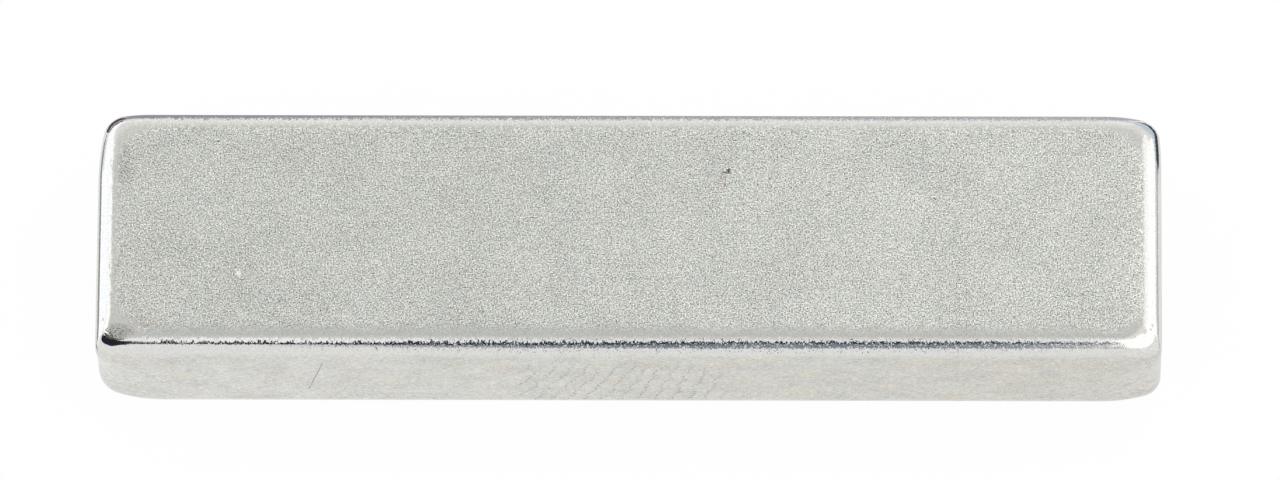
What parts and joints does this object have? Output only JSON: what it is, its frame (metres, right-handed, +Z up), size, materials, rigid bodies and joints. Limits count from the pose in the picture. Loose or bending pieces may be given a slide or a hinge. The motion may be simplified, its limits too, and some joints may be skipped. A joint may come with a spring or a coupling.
{
  "type": "block magnet",
  "caption": "Rectangular sintered bar magnet with a satin nickel-plated skin and softly rounded edges and corners, magnetised through its thickness.",
  "frame": {"origin": "middle of the lower pole face, on which the block rests", "axes": "+X along the length to the right, +Y across the width away from the front, +Z up through the thickness, which is the direction of magnetisation"},
  "size_m": [0.04, 0.01, 0.005],
  "materials": {
    "nickel_plating": "satin nickel plating with a fine grain on the pole faces, brighter on the rounded edges"
  },
  "bodies": {
    "root": {"magnet_block": "nickel_plating"}
  },
  "joints": []
}
